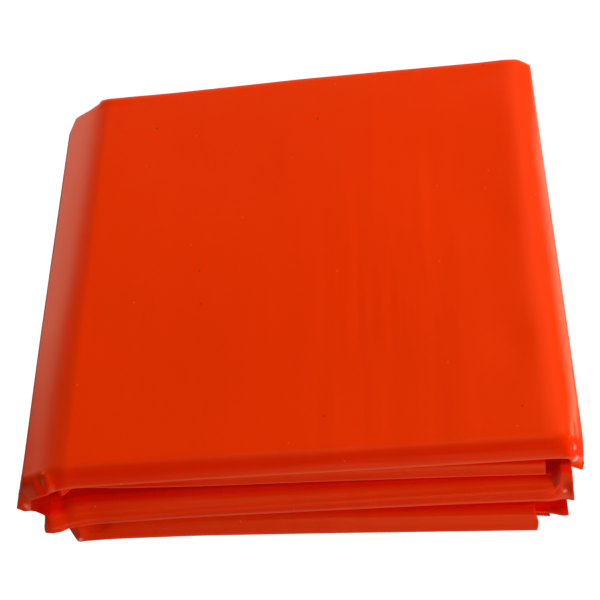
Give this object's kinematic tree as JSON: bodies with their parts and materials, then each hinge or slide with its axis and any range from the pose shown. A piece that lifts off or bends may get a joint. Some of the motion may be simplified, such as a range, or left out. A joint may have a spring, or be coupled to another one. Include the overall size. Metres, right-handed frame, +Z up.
{
  "type": "emergency sleeping bag",
  "caption": "Emergency sleeping bag of glossy orange film, folded back and forth into a flat, nearly square pack with rounded lips along its front.",
  "frame": {"origin": "centre of the pack's box, on the surface it rests on", "axes": "+Z up through the stack of folds, -Y towards the folded lips, +X to the right when facing the lips"},
  "size_m": [0.2294, 0.2402, 0.037],
  "materials": {
    "orange_film": "glossy orange polythene film"
  },
  "bodies": {
    "root": {"bag": "orange_film"}
  },
  "joints": []
}
